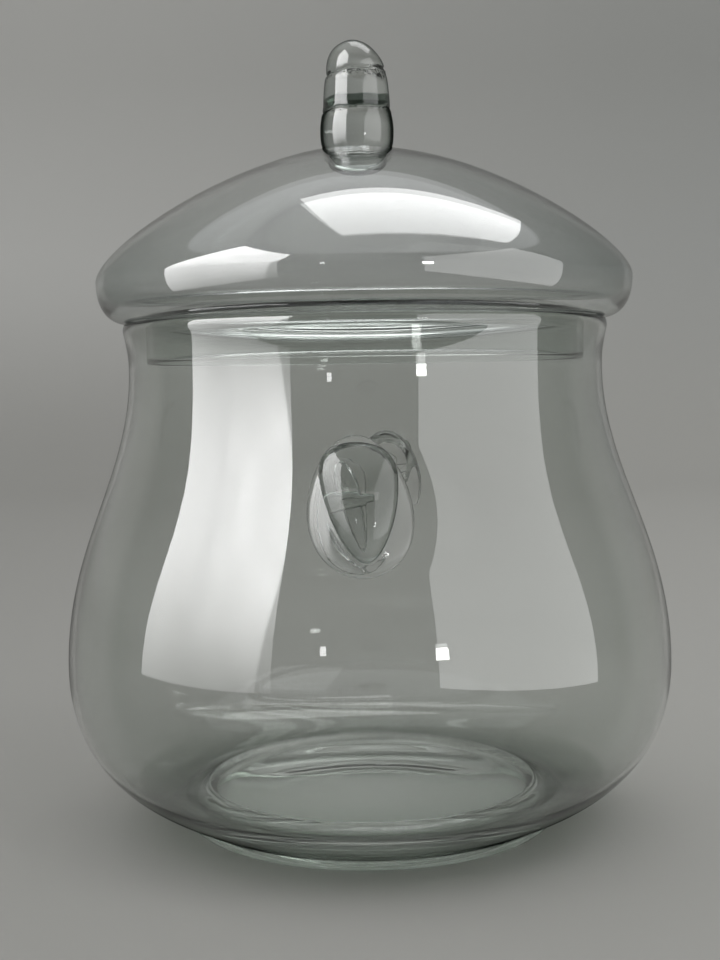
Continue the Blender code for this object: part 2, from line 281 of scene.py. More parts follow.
# Left soft box
WINDOW_BRIGHT_ABOVE = 0.46
WINDOW_STRENGTHS = (0.15, 1.15)  # at the floor and from the height above
WINDOW_EDGE = -0.66  # how far forward the bright part reaches, at the floor
WINDOW_EDGE_HALF = 0.02
WINDOW_SLANT = 0.25  # how much further forward it reaches for each metre up
WINDOW_DIM = 0.4  # strength of the strip in front of it
WINDOW_SILL = 0.041  # height of the dark below, at the jar's middle
WINDOW_SILL_SOFT = 0.008
WINDOW_SILL_SLOPE = 0.05  # how much it rises for each metre back
WINDOW_CLOUD = (0.5, 0.75)  # the mottling's range and its least strength

# Room and camera
WHITE = (1.0, 1.0, 1.0)
JAR_MIDDLE = (0.0, 0.0, 0.15)  # what the lamps face, in metres
SKY = (0.98, 0.99, 1.0)
SKY_STRENGTH = 0.95
CAMERA_PLACE = (-2.91, -600.0, 183.96)  # millimetres, as the jar's sizes
CAMERA_PITCH = 3.952  # degrees
CAMERA_ROLL = 0.906
CAMERA_LENS = 53.57
CAMERA_SENSOR = 36.0

# Faces round the axis
TURNS = 192
KNOB_TURNS = 220
BACKDROP_TURNS = 96


# ---------------------------------------------------------------- curves and sections


def bezier(start, pull_a, pull_b, end, count):
    """Points of a cubic curve after its start, the end among them."""
    points = []
    for i in range(1, count + 1):
        t = i / count
        weights = ((1 - t) ** 3, 3 * t * (1 - t) ** 2, 3 * t * t * (1 - t), t**3)
        corners = (start, pull_a, pull_b, end)
        points.append(tuple(sum(w * c[k] for w, c in zip(weights, corners)) for k in (0, 1)))
    return points


def arc(centre, radius, start_deg, end_deg, count):
    """Points on a circle, both ends among them; 0 degrees points away from the axis, 90 up."""
    points = []
    for i in range(count + 1):
        angle = math.radians(start_deg + (end_deg - start_deg) * i / count)
        points.append((centre[0] + radius * math.cos(angle), centre[1] + radius * math.sin(angle)))
    return points


def straight(start, end, count):
    """Points from start to end, both among them."""
    return [tuple(a + (b - a) * i / count for a, b in zip(start, end)) for i in range(count + 1)]


def crossing(line, axis, value):
    """The point where a line of points first passes a value of its radius (axis 0) or height (1)."""
    for a, b in zip(line, line[1:]):
        if min(a[axis], b[axis]) <= value <= max(a[axis], b[axis]) and a[axis] != b[axis]:
            share = (value - a[axis]) / (b[axis] - a[axis])
            return tuple(p + (q - p) * share for p, q in zip(a, b))
    raise ValueError("the line never gets there")


def body_outside():
    """The jar's outer line, from the foot up to the lip."""
    start = (FOOT_JOIN_R, FOOT_TOP)
    belly_low = (BELLY[0], BELLY[1] - BELLY_PULL_DOWN)
    belly_high = (BELLY[0], BELLY[1] + BELLY_PULL_UP)
    waist_low = (WAIST[0], WAIST[1] - WAIST_PULL_DOWN)
    waist_high = (WAIST[0], WAIST[1] + WAIST_PULL_UP)
    line = [start]
    line += bezier(start, BASE_PULL, belly_low, BELLY, 44)
    line += bezier(BELLY, belly_high, waist_low, WAIST, 48)
    line += bezier(WAIST, waist_high, LIP_PULL, LIP, 10)
    return line


def body_inside():
    """The jar's inner line, from the rim's inner edge down to the middle of the floor."""
    rim = (RIM_OUTER_R - RIM_WALL, RIM_TOP - RIM_EDGE)
    lip = (LIP[0] - LIP_WALL, LIP[1])
    lip_low = (LIP_PULL[0] - LIP_WALL, LIP_PULL[1])
    waist = (WAIST[0] - WALL, WAIST[1])
    waist_high = (waist[0], waist[1] + WAIST_PULL_UP)
    waist_low = (waist[0], waist[1] - WAIST_PULL_DOWN)
    belly = (BELLY[0] - WALL, BELLY[1] + INNER_BELLY_RISE)
    belly_high = (belly[0], belly[1] + BELLY_PULL_UP)
    belly_low = (belly[0], belly[1] - BELLY_PULL_DOWN + INNER_BELLY_EASE)
    edge_centre = (FLOOR_EDGE_R - FLOOR_EDGE_ROUND, FLOOR_Z - FLOOR_EDGE_ROUND)
    edge = arc(edge_centre, FLOOR_EDGE_ROUND, 30, 90, 6)
    line = straight(rim, lip, 3)
    line += bezier(lip, lip_low, waist_high, waist, 16)
    line += bezier(waist, waist_low, belly_high, belly, 48)
    line += bezier(belly, belly_low, INNER_BASE_PULL, MOAT, 40)
    line += bezier(MOAT, MOAT_PULL, FLOOR_EDGE_PULL, edge[0], 14)
    line += edge[1:]
    line += straight(edge[-1], (0.0, FLOOR_Z), 10)[1:]
    return line


def body_section():
    """The body's outline, from the middle of the floor up, over the rim, down and under to the axis."""
    rim_centre = (RIM_OUTER_R - RIM_WALL + RIM_EDGE, RIM_TOP - RIM_EDGE)
    rim = arc(rim_centre, RIM_EDGE, 180, 90, 4)
    flat_end = (RIM_OUTER_R - RIM_EDGE, RIM_TOP)
    lip = bezier(flat_end, RIM_PULL, (LIP[0], LIP[1] + LIP_PULL_UP), LIP, 8)
    join_inner = (FOOT_INNER_R, FOOT_TOP)
    underside = bezier(join_inner, *PUSH_UP_PULLS, (0.0, FOOT_TOP + PUSH_UP), 16)
    upward = list(reversed(body_inside()))[:-1]
    downward = list(reversed(body_outside()))[1:]
    return [
        (upward + rim + [flat_end] + lip + downward, GLASS),
        (straight((FOOT_JOIN_R, FOOT_TOP), join_inner, 6), GLASS),
        ([join_inner] + underside, GLASS),
    ]


def foot_section():
    """The foot ring's outline, down its outer side and up the inner one, and its seam on top."""
    join = (FOOT_JOIN_R, FOOT_TOP)
    outer = bezier(join, *FOOT_OUTER_PULLS, (FOOT_GROUND_R[1], 0.0), 12)
    ground = straight((FOOT_GROUND_R[1], 0.0), (FOOT_GROUND_R[0], 0.0), 3)[1:]
    inner = arc((FOOT_GROUND_R[0], FOOT_EDGE), FOOT_EDGE, -90, -160, 6)[1:]
    rise = bezier(inner[-1], *FOOT_INNER_PULLS, (FOOT_INNER_R, FOOT_TOP), 6)
    return [
        ([join] + outer + ground + inner + rise, GLASS),
        (straight((FOOT_INNER_R, FOOT_TOP), join, 6), SEAM),
    ]


def dome_outside():
    """The lid's outer line, from the middle of the crown down to the shoulder."""
    apex = (0.0, DOME_TOP)
    pull = (SHOULDER[0], SHOULDER[1] + SHOULDER_PULL_UP)
    return [apex] + bezier(apex, (DOME_TOP_PULL, DOME_TOP), pull, SHOULDER, 96)


def dome_inside():
    """The lid's inner line: up from the collar, over the throat, round the curl and up to the middle."""
    ease_down, ease_up, ease_top = DOME_INNER_EASE
    throat = arc(THROAT_CENTRE, THROAT_FILLET + COLLAR_WALL, 180, 90, 16)
    curl = (CURL_INNER_PULL_R, throat[-1][1] + CURL_INNER_PULL_UP)
    shoulder = (SHOULDER[0] - DOME_WALL, SHOULDER[1])
    below = (shoulder[0], shoulder[1] - SHOULDER_PULL_DOWN + ease_down)
    above = (shoulder[0], shoulder[1] + SHOULDER_PULL_UP - ease_up)
    top = (0.0, DOME_TOP - DOME_WALL)
    line = throat
    line += bezier(throat[-1], curl, below, shoulder, 26)
    line += bezier(shoulder, above, (DOME_TOP_PULL - ease_top, top[1]), top, 90)
    return line


def knob_joint():
    """Where the knob meets the dome's outer and inner surfaces."""
    return crossing(dome_outside(), 0, KNOB_FOOT_R), crossing(dome_inside(), 0, KNOB_ROOT_R)


def dome_section():
    """The dome's outline from the knob's foot out and round to its root, with both its seams."""
    outer_joint, inner_joint = knob_joint()
    outside = [outer_joint] + [p for p in dome_outside() if p[0] > KNOB_FOOT_R]
    shoulder_low = (SHOULDER[0], SHOULDER[1] - SHOULDER_PULL_DOWN)
    curl = bezier(SHOULDER, shoulder_low, (CURL_PULL_R, SEAT + CURL_PULL_UP), (CURL_R, SEAT), 26)
    throat = arc(THROAT_CENTRE, THROAT_FILLET, 90, 180, 12)
    join = straight((COLLAR_OUTER_R, COLLAR_TOP), (COLLAR_OUTER_R - COLLAR_WALL, COLLAR_TOP), 3)
    inside = [p for p in dome_inside() if p[0] > KNOB_ROOT_R] + [inner_joint]
    return [
        (outside + curl + throat, GLASS),
        (join, SEAM),
        (inside, GLASS),
        ([inner_joint, outer_joint], SEAM),
    ]


def collar_section():
    """The collar's outline, open ring of glass below and seam on top."""
    inner_r = COLLAR_OUTER_R - COLLAR_WALL
    edge_z = COLLAR_BOTTOM + COLLAR_EDGE
    outer = straight((COLLAR_OUTER_R, COLLAR_TOP), (COLLAR_OUTER_R, edge_z), 6)
    foot = arc((COLLAR_OUTER_R - COLLAR_EDGE, edge_z), COLLAR_EDGE, 0, -90, 5)[1:]
    foot += arc((inner_r + COLLAR_EDGE, edge_z), COLLAR_EDGE, -90, -180, 5)
    inner = straight((inner_r, edge_z), (inner_r, COLLAR_TOP), 6)[1:]
    return [
        (outer + foot + inner, GLASS),
        (straight((inner_r, COLLAR_TOP), (COLLAR_OUTER_R, COLLAR_TOP), 3), SEAM),
    ]


def knob_section():
    """Cap, two swellings and foot, then the root under the dome. The creases are pressed in later."""
    outer_joint, inner_joint = knob_joint()
    foot_low = (KNOB_FOOT_PULL_R, outer_joint[1] + KNOB_FOOT_PULL_UP)
    cap = bezier((0.0, KNOB_TOP), *KNOB_CAP_PULLS, KNOB_WAIST_HIGH, 40)
    middle = bezier(KNOB_WAIST_HIGH, *KNOB_MIDDLE_PULLS, KNOB_WAIST_LOW, 44)
    lower = bezier(KNOB_WAIST_LOW, *KNOB_LOW_PULLS, KNOB_BELLY, 28)
    foot = bezier(KNOB_BELLY, (KNOB_BELLY_R, KNOB_BELLY_PULL_Z), foot_low, outer_joint, 14)
    root = bezier(inner_joint, *KNOB_ROOT_PULLS, (0.0, KNOB_ROOT_BOTTOM), 22)
    return [
        ([(0.0, KNOB_TOP)] + cap + middle + lower + foot, GLASS),
        ([outer_joint, inner_joint], SEAM),
        ([inner_joint] + root, GLASS),
    ]


# ---------------------------------------------------------------- meshes


def spread(points, steps):
    """Rings of vertices round the axis, one for each point; a point on the axis is one vertex."""
    rings = []
    for radius, height in points:
        if radius < TINY:
            rings.append([Vector((0.0, 0.0, height)) * MM])
            continue
        ring = []
        for i in range(steps):
            angle = math.tau * i / steps
            ring.append(Vector((radius * math.cos(angle), radius * math.sin(angle), height)) * MM)
        rings.append(ring)
    return rings


def lathe(name, section, steps):
    """A surface of revolution from stretches of (points, material slot) that run end to end."""
    points, slots = [], []
    for stretch, slot in section:
        points += stretch if not points else stretch[1:]
        slots += [slot] * (len(stretch) - 1)
    closed = math.dist(points[0], points[-1]) < TINY
    if closed:
        points = points[:-1]
    cage = bmesh.new()
    rings = [[cage.verts.new(co) for co in ring] for ring in spread(points, steps)]
    for i, slot in enumerate(slots):
        a, b = rings[i], rings[(i + 1) % len(rings)]
        for j in range(steps):
            k = (j + 1) % steps
            corners = [a[j % len(a)], a[k % len(a)], b[k % len(b)], b[j % len(b)]]
            face = cage.faces.new(list(dict.fromkeys(corners)))
            face.material_index = slot
            face.smooth = True
    bmesh.ops.recalc_face_normals(cage, faces=cage.faces)
    return add_mesh(name, cage)


def add_mesh(name, cage):
    """Turns a finished cage into an object."""
    mesh = bpy.data.meshes.new(name)
    cage.to_mesh(mesh)
    cage.free()
    return add_object(name, mesh)


def add_object(name, data):
    """Puts a mesh, light or camera into the scene."""
    obj = bpy.data.objects.new(name, data)
    bpy.context.scene.collection.objects.link(obj)
    return obj


def settled(obj):
    """Turns an object's modifiers into plain mesh."""
    bpy.context.view_layer.update()
    graph = bpy.context.evaluated_depsgraph_get()
    mesh = bpy.data.meshes.new_from_object(obj.evaluated_get(graph))
    obj.modifiers.clear()
    obj.data = mesh
    return obj


def rise(value, start, reach):
    """Goes smoothly from 0 to 1 as a value goes from start over a reach."""
    x = min(max((value - start) / reach, 0.0), 1.0)
    return x * x * (3 - 2 * x)


def sharpen(obj, degrees=32.0):
    """Shades smooth, apart from edges that bend more than some degrees."""
    obj.data.polygons.foreach_set("use_smooth", [True] * len(obj.data.polygons))
    obj.data.set_sharp_from_angle(angle=math.radians(degrees))


# ---------------------------------------------------------------- tint by place


def store(mesh, name, values):
    """Stores a number at each vertex under a name."""
    layer = mesh.attributes.get(name) or mesh.attributes.new(name, "FLOAT", "POINT")
    layer.data.foreach_set("value", values)


def stored(mesh, name):
    """The numbers stored at the vertices under a name."""
    return [item.value for item in mesh.attributes[name].data]


def measure_depth(obj):
    """Stores at each vertex how much glass lies under it, in millimetres, for the tint."""
    mesh = obj.data
    cage = bmesh.new()
    cage.from_mesh(mesh)
    tree = BVHTree.FromBMesh(cage)
    cage.free()
    depths = []
    for vert in mesh.vertices:
        inward = -vert.normal
        distance = tree.ray_cast(vert.co + inward * SKIN_OFFSET, inward)[3]
        depths.append(WALL if distance is None else min(distance / MM, DEEPEST))
    store(mesh, "depth_and_painted_shade", depths)
    store(mesh, "edge_shade_share", [1.0] * len(depths))


def shade_knob(knob):
    """Paints a dark band of shade above the lower crease as extra glass depth, and keeps the edge
    darkening, partly painted shade, to the foot below it.
    """
    mesh = knob.data
    depths = stored(mesh, "depth_and_painted_shade")
    fade_in, fade_out = SHADE_BAND_FADES
    shares = []
    for i, vert in enumerate(mesh.vertices):
        x, y, z = (c / MM for c in vert.co)
        above = above_crease(LOWER_CREASE, z, math.atan2(y, x - KNOB_X))
        # painted shade: the dark band is laid on as extra glass depth
        band = rise(above, 0.0, fade_in) * (1 - rise(above, SHADE_BAND_HEIGHT, fade_out))
        depths[i] += SHADE_BAND_DEPTH * band
        shares.append(1.0 - UPPER_KNOB_LOSS * rise(above, *PAST_LOWER_CREASE))
    store(mesh, "depth_and_painted_shade", depths)
    store(mesh, "edge_shade_share", shares)


def shade_body(body):
    """Thins the tint of the floor, which is seen nearly edge-on, as painted light against the shade
    under the jar; thickens that of base and rim; and lays the edge darkening, partly painted shade,
    strongest at the heel, weak just above it and less at the neck.
    """
    mesh = body.data
    depths = stored(mesh, "depth_and_painted_shade")
    shares = []
    for i, vert in enumerate(mesh.vertices):
        radius, height = math.hypot(vert.co.x, vert.co.y) / MM, vert.co.z / MM
        off_floor = rise(radius, *OFF_FLOOR)
        depths[i] *= FLOOR_TINT + (1 - FLOOR_TINT) * off_floor
        depths[i] += BASE_DEPTH * off_floor * (1 - rise(height, *ABOVE_BASE))
        depths[i] += RIM_DEPTH * rise(height, *AT_RIM)
        neck = 1 - NECK_LOSS * rise(height, *UP_THE_NECK)
        side = LOW_SIDE_EDGE + (1 - LOW_SIDE_EDGE) * rise(height, *UP_THE_SIDE) * neck
        heel = BASE_EDGE * (1 - rise(height, *ABOVE_HEEL))
        shares.append(off_floor * (side + heel))
    store(mesh, "depth_and_painted_shade", depths)
    store(mesh, "edge_shade_share", shares)


def shade_dome(dome):
    """Lets the edge darkening, partly painted shade, fall round the curl and hardly at all at the crown.
    """
    heights = [vert.co.z / MM for vert in dome.data.vertices]
    store(dome.data, "edge_shade_share", [1.0 - CROWN_LOSS * rise(z, *UP_THE_CROWN) for z in heights])


def thin_tint(obj, share):
    """Leaves only a share of a piece's tint and edge darkening, which paints it lighter."""
    for name in ("depth_and_painted_shade", "edge_shade_share"):
        store(obj.data, name, [value * share for value in stored(obj.data, name)])


# ---------------------------------------------------------------- handles


OUTSIDE = body_outside()


def body_surface(height):
    """Radius of the body's outside at a height, and the outward slope (radial, upward) there."""
    for (r0, z0), (r1, z1) in zip(OUTSIDE, OUTSIDE[1:]):
        if z0 <= height <= z1:
            share = (height - z0) / (z1 - z0)
            slope = Vector((z1 - z0, r0 - r1)).normalized()
            return r0 + (r1 - r0) * share, slope
    raise ValueError("height is off the body")


def on_body(across, up, out, turn, drop):
    """A point given in millimetres across, up and out from a handle's middle, on the jar's side."""
    height = HANDLE_Z - drop + up
    radius, slope = body_surface(height)
    angle = math.radians(turn - 90.0) + across / radius
    reach = radius + out * slope[0]
    lift = height + out * slope[1]
    return Vector((reach * math.cos(angle), reach * math.sin(angle), lift)) * MM


def pad_shape(x, y, z):
    """An egg-shaped pad, wider below, its back sunk a little into the wall."""
    across = (PAD_HALF_WIDTH - PAD_TAPER * y) * x - PAD_LEFT - PAD_SHEAR * y
    out = PAD_THICK * z if z > 0 else ROOT_DEPTH * z * PAD_BACK_FLAT
    return across, PAD_HALF_HEIGHT * y, max(out, -ROOT_DEPTH)


def lug_shape(x, y, z):
    """A tongue of glass, broad and proud at the top, that narrows to a tip on the pad."""
    upper = max(y, 0.0) ** 2
    width = LUG_HALF_WIDTH + LUG_TAPER * y + LUG_FLARE * upper
    across = width * x - LUG_LEFT - LUG_SHEAR * y
    middle = LUG_OUT + LUG_RISE * y - LUG_TOP_FALL * upper
    out = middle + (LUG_HALF_THICK + LUG_FATTEN * y) * z
    return across, LUG_HALF_HEIGHT * y, max(out, LUG_BACK)


def slit_shape(x, y, z):
    """The slit left between lug and pad, open on the jar's left and closing to the right."""
    across = SLIT_MIDDLE[0] + SLIT_HALF[0] * x
    up = SLIT_MIDDLE[1] + SLIT_HALF[1] * y * (1.0 - SLIT_TAPER * x) + SLIT_SLANT * across
    return across, up, SLIT_MIDDLE[2] + SLIT_HALF[2] * z


def blob(name, shape, turn, drop, segments, rings):
    """A ball whose points are carried to a shape and laid on the jar's side."""
    cage = bmesh.new()
    bmesh.ops.create_uvsphere(cage, u_segments=segments, v_segments=rings, radius=1.0)
    for vert in cage.verts:
        vert.co = on_body(*shape(*vert.co), turn, drop)
    return add_mesh(name, cage)


def boolean(obj, operation, other):
    """Adds a cut or a union with another object, whose faces bring their material along."""
    step = obj.modifiers.new(operation.title(), "BOOLEAN")
    step.operation = operation
    step.solver = "EXACT"
    step.material_mode = "TRANSFER"
    step.object = other


def handle_form(name, turn, drop):
    """The handle as one smooth gather, its back still sunk into the body's wall."""
    form = blob(name, pad_shape, turn, drop, segments=96, rings=48)
    lug = blob(name + "_lug", lug_shape, turn, drop, segments=80, rings=48)
    slit = blob(name + "_slit", slit_shape, turn, drop, segments=48, rings=24)
    boolean(form, "UNION", lug)
    boolean(form, "DIFFERENCE", slit)
    remesh = form.modifiers.new("Even", "REMESH")
    remesh.mode = "VOXEL"
    remesh.voxel_size = HANDLE_VOXEL * MM
    soften = form.modifiers.new("Soften", "SMOOTH")
    soften.factor = 0.5
    soften.iterations = 4
    settled(form)
    form.data.materials.clear()  # the boolean steps leave an empty slot
    for helper in (lug, slit):
        bpy.data.objects.remove(helper)
    return form


def seam_copy(obj, suffix, seam):
    """A copy of an object's mesh for a cut, which leaves seam faces where it cuts."""
    copy = add_object(obj.name + suffix, obj.data.copy())
    copy.data.materials.clear()
    copy.data.materials.append(seam)
    return copy


def part_from_body(form, body, seam):
    """Parts handle and body along the body's surface, with seam faces on both."""
    cutter = seam_copy(form, "_cutter", seam)
    wall = seam_copy(body, "_wall", seam)
    boolean(form, "DIFFERENCE", wall)
    settled(form)
    drop_crumbs(form)
    boolean(body, "DIFFERENCE", cutter)
    settled(body)
    for helper in (cutter, wall):
        bpy.data.objects.remove(helper)


def drop_crumbs(obj):
    """Deletes the loose crumbs that a cut may leave beside the main body."""
    cage = bmesh.new()
    cage.from_mesh(obj.data)
    left = set(cage.verts)
    bodies = []
    while left:
        body, edge = set(), [left.pop()]
        while edge:
            vert = edge.pop()
            body.add(vert)
            near = {link.other_vert(vert) for link in vert.link_edges} & left
            left -= near
            edge += near
        bodies.append(body)
    bodies.sort(key=len)
    for crumbs in bodies[:-1]:
        bmesh.ops.delete(cage, geom=list(crumbs), context="VERTS")
    cage.to_mesh(obj.data)
    cage.free()


# ---------------------------------------------------------------- knob and dome warps


def above_crease(crease, height, angle):
    """How far a point lies above a crease that tilts and wanders as it goes round."""
    wander = sum(
        swing * math.sin(waves * angle + times * crease.phase) for swing, waves, times in CREASE_WAVES
    )
    return height - (crease.height + crease.tilt * math.cos(angle) + wander)


def pressed(crease, above):
    """How deep a crease presses in a point that lies above or below it."""
    return crease.depth * math.exp(-((above / crease.width) ** 2))


def chips(crease, above, place):
    """Small uneven dents where the jacks have pinched the glass, near a crease."""
    rough = noise.noise(Vector((place.x, place.y, CHIPS_UPRIGHT * place.z)) * CHIPS_PER_METRE)
    near = math.exp(-(((above + crease.chips_below) / crease.chips_reach) ** 2))
    return crease.chips_depth * abs(rough) * near


def shape_knob(knob):
    """Presses in the creases, sets the cap a little to one side and moves the knob to its place."""
    lower_z, upper_z = KNOB_WAIST_LOW[1], KNOB_WAIST_HIGH[1]
    for vert in knob.data.vertices:
        x, y, z = (c / MM for c in vert.co)
        radius, angle = math.hypot(x, y), math.atan2(y, x)
        above_upper = above_crease(UPPER_CREASE, z, angle)
        above_lower = above_crease(LOWER_CREASE, z, angle)
        inset = pressed(UPPER_CREASE, above_upper) + pressed(LOWER_CREASE, above_lower)
        inset += chips(UPPER_CREASE, above_upper, vert.co) + chips(LOWER_CREASE, above_lower, vert.co)
        cap = rise(above_upper, -CAP_STEP / 2, CAP_STEP) * rise(radius, 0.0, KNOB_CORE_R)
        lean = KNOB_LEAN * max(z - lower_z, 0.0) ** 2 / (KNOB_TOP - lower_z) ** 2
        right_side = rise(x, -KNOB_SIDE_BLEND / 2, KNOB_SIDE_BLEND)
        slope = CAP_SLOPE * rise(z - upper_z, CAP_SLOPE_START, CAP_SLOPE_REACH) * right_side
        if radius > KNOB_CORE_R:
            x -= inset * x / radius
            y -= inset * y / radius
        x -= lean + slope + cap * (CAP_SET_IN * right_side - CAP_SHIFT)
        vert.co = Vector((x + KNOB_X, y, z)) * MM


def shape_dome(dome):
    """Moves the hole over to the knob's axis, fading out across the crown."""
    for vert in dome.data.vertices:
        radius = math.hypot(vert.co.x, vert.co.y) / MM
        vert.co.x += KNOB_X * MM * (1 - rise(radius, KNOB_FOOT_R, CROWN_REACH))


# ---------------------------------------------------------------- materials


def node(tree, kind, **inputs):
    """A new node with values set on inputs, whose names have _ for each space."""
    made = tree.nodes.new(kind)
    for name, value in inputs.items():
        made.inputs[name.replace("_", " ")].default_value = value
    return made


def calculate(tree, operation, *values):
    """A maths node whose inputs are numbers or other nodes' outputs."""
    step = tree.nodes.new("ShaderNodeMath")
    step.operation = operation
    for socket, value in zip(step.inputs, values):
        if isinstance(value, bpy.types.NodeSocket):
            tree.links.new(value, socket)
        else:
            socket.default_value = value
    return step.outputs[0]


def complement(tree, value):
    """1 less the value."""
    return calculate(tree, "SUBTRACT", 1.0, value)


def ramp_between(tree, value, start, end):
    """Goes smoothly from 0 to 1 as a value goes from start to end."""
    ramp = node(tree, "ShaderNodeMapRange", From_Min=start, From_Max=end)
    ramp.interpolation_type = "SMOOTHSTEP"
    tree.links.new(value, ramp.inputs["Value"])
    return ramp.outputs["Result"]


def mix_colours(tree, share, first, second):
    """Mixes two colours, each given as a colour or as another node's output."""
    mix = tree.nodes.new("ShaderNodeMix")
    mix.data_type = "RGBA"
    tree.links.new(share, mix.inputs["Factor"])
    for socket, colour in (("A", first), ("B", second)):
        if isinstance(colour, bpy.types.NodeSocket):
            tree.links.new(colour, mix.inputs[socket])
        else:
            mix.inputs[socket].default_value = (*colour, 1.0)
    return mix.outputs["Result"]


def attribute(tree, name):
    """What a mesh stores at each vertex under a name."""
    reader = tree.nodes.new("ShaderNodeAttribute")
    reader.attribute_name = name
    return reader.outputs["Fac"]


def new_material(name):
    """A material, its node tree and the shader that it starts with."""
    material = bpy.data.materials.new(name)
    material.use_nodes = True
    tree = material.node_tree
    return material, tree, tree.nodes["Principled BSDF"]


def glass(
    name,
    per_mm,
    edge,
    painted_outline,
    edge_power=2.5,
    mirror=1.0,
    smudge=0.01,
    ripple=0.00001,
    ripple_size=0.03,
    pale_past=2.0,
):
    """Clear glass, its skin faintly rippled and smudged.

    It darkens by per_mm for each millimetre of glass that lies behind its face, and at its edges as
    if edge millimetres more did; that edge darkening stands partly for the longer path through the
    glass and partly for painted shade. A mirror below 1 dims what its face reflects. The
    painted_outline is the strength and the power of the painted shade, a dark coat, laid where a
    face is seen edge-on. Past pale_past, a measure of how nearly edge-on that is, a thin wall mirrors
    the bright wall behind it and stops darkening, but a heavy base, whose share is above 1, doesn't.
    """
    material, tree, shader = new_material(name)
    shader.inputs["Transmission Weight"].default_value = 1.0
    shader.inputs["IOR"].default_value = GLASS_IOR
    shader.inputs["Specular Tint"].default_value = (mirror, mirror, mirror, 1.0)

    facing = node(tree, "ShaderNodeLayerWeight", Blend=0.5).outputs["Facing"]
    share = attribute(tree, "edge_shade_share")
    thin = complement(tree, ramp_between(tree, share, *HEAVY_SHARES))
    pale = ramp_between(tree, facing, pale_past, pale_past + PALE_FADE)
    pale = calculate(tree, "MULTIPLY", pale, thin)
    graze = calculate(tree, "POWER", facing, edge_power)
    graze = calculate(tree, "MULTIPLY", graze, share)
    graze = calculate(tree, "MULTIPLY", graze, complement(tree, pale))
    path = calculate(tree, "MULTIPLY_ADD", graze, edge, attribute(tree, "depth_and_painted_shade"))
    tint_glass(tree, shader, per_mm, path)
    paint_edge_shade(tree, shader, facing, share, *painted_outline)
    smudge_skin(tree, shader, smudge)
    ripple_skin(tree, shader, ripple, ripple_size)
    return material


def tint_glass(tree, shader, per_mm, path):
    """Colours the light by what a millimetre leaves of it, once for each millimetre of its path."""
    tint = node(tree, "ShaderNodeGamma", Color=(*per_mm, 1.0))
    tree.links.new(path, tint.inputs["Gamma"])
    tree.links.new(tint.outputs["Color"], shader.inputs["Base Color"])


def paint_edge_shade(tree, shader, facing, share, strength, power):
    """Lays painted shade, a dark diffuse coat, over the faces that are seen edge-on."""
    edge_shade = calculate(tree, "MULTIPLY", calculate(tree, "POWER", facing, power), strength)
    edge_shade = calculate(tree, "MULTIPLY", edge_shade, share)
    edge_shade = calculate(tree, "MINIMUM", edge_shade, PAINTED_EDGE_SHADE_MOST)
    dark = node(tree, "ShaderNodeBsdfDiffuse", Color=(*PAINTED_EDGE_SHADE, 1.0))
    mix = tree.nodes.new("ShaderNodeMixShader")
    tree.links.new(edge_shade, mix.inputs[0])
    tree.links.new(shader.outputs[0], mix.inputs[1])
    tree.links.new(dark.outputs[0], mix.inputs[2])
    tree.links.new(mix.outputs[0], tree.nodes["Material Output"].inputs["Surface"])


def smudge_skin(tree, shader, smudge):
    """Dulls the skin a little in patches, as handling does."""
    place = tree.nodes.new("ShaderNodeTexCoord")
    film = node(tree, "ShaderNodeTexNoise", Scale=38.0, Detail=4.0, Roughness=0.6)
    start, end = SMUDGED
    rough = node(tree, "ShaderNodeMapRange", From_Min=start, From_Max=end, To_Min=0.0, To_Max=smudge)
    tree.links.new(place.outputs["Object"], film.inputs["Vector"])
    tree.links.new(film.outputs["Fac"], rough.inputs["Value"])
    tree.links.new(rough.outputs["Result"], shader.inputs["Roughness"])


def ripple_skin(tree, shader, ripple, ripple_size):
    """Raises faint waves of a size on the skin, as blowing and reheating leave them."""
    place = tree.nodes.new("ShaderNodeTexCoord")
    waves = node(tree, "ShaderNodeTexNoise", Scale=1.0 / ripple_size, Detail=1.5, Roughness=0.4)
    bump = node(tree, "ShaderNodeBump", Strength=1.0, Distance=ripple)
    tree.links.new(place.outputs["Object"], waves.inputs["Vector"])
    tree.links.new(waves.outputs["Fac"], bump.inputs["Height"])
    tree.links.new(bump.outputs["Normal"], shader.inputs["Normal"])


def body_glass():
    """Green at the sides and the base, pale again where a thin side is seen edge-on."""
    return glass("body_glass", GREEN, edge=15.0, painted_outline=(0.9, 12.0), pale_past=0.46)


def foot_glass():
    """The body's green, darker at its edges, partly as the ring is solid and partly with painted shade.
    """
    return glass("foot_glass", GREEN, edge=24.0, painted_outline=(0.7, 10.0), edge_power=4.0, ripple_size=0.02)


def handle_glass():
    """Grey-green, finely rippled, and duller in its reflections than the blown walls."""
    return glass(
        "handle_glass",
        GREY,
        edge=40.0,
        painted_outline=(1.8, 4.0),
        edge_power=4.0,
        mirror=0.45,
        smudge=0.005,
        ripple_size=0.01,
    )


def lid_glass():
    """A little paler than the body, with thinner painted outlines of shade."""
    return glass("lid_glass", PALE_GREEN, edge=18.0, painted_outline=(0.5, 12.0), ripple=0.000008)


def collar_glass():
    """The body's green, hardly darkened, by path or by painted shade, at the edges of its thin wall."""
    return glass("collar_glass", GREEN, edge=3.0, painted_outline=(0.5, 12.0), ripple=0.000008)


def knob_glass():
    """Nearly colourless, and very dark with painted shade at the edges of its foot."""
    return glass(
        "knob_glass",
        DENSE,
        edge=2000.0,
        painted_outline=(9.0, 5.0),
        edge_power=5.0,
        mirror=0.7,
        smudge=0.005,
        ripple=0.000008,
        ripple_size=0.008,
    )


def seam_glass():
    """Stands where two gathers are fused: nothing bends or mirrors there."""
    material, tree, shader = new_material("fused_seam")
    tree.nodes.remove(shader)
    clear = tree.nodes.new("ShaderNodeBsdfTransparent")
    tree.links.new(clear.outputs[0], tree.nodes["Material Output"].inputs["Surface"])
    return material


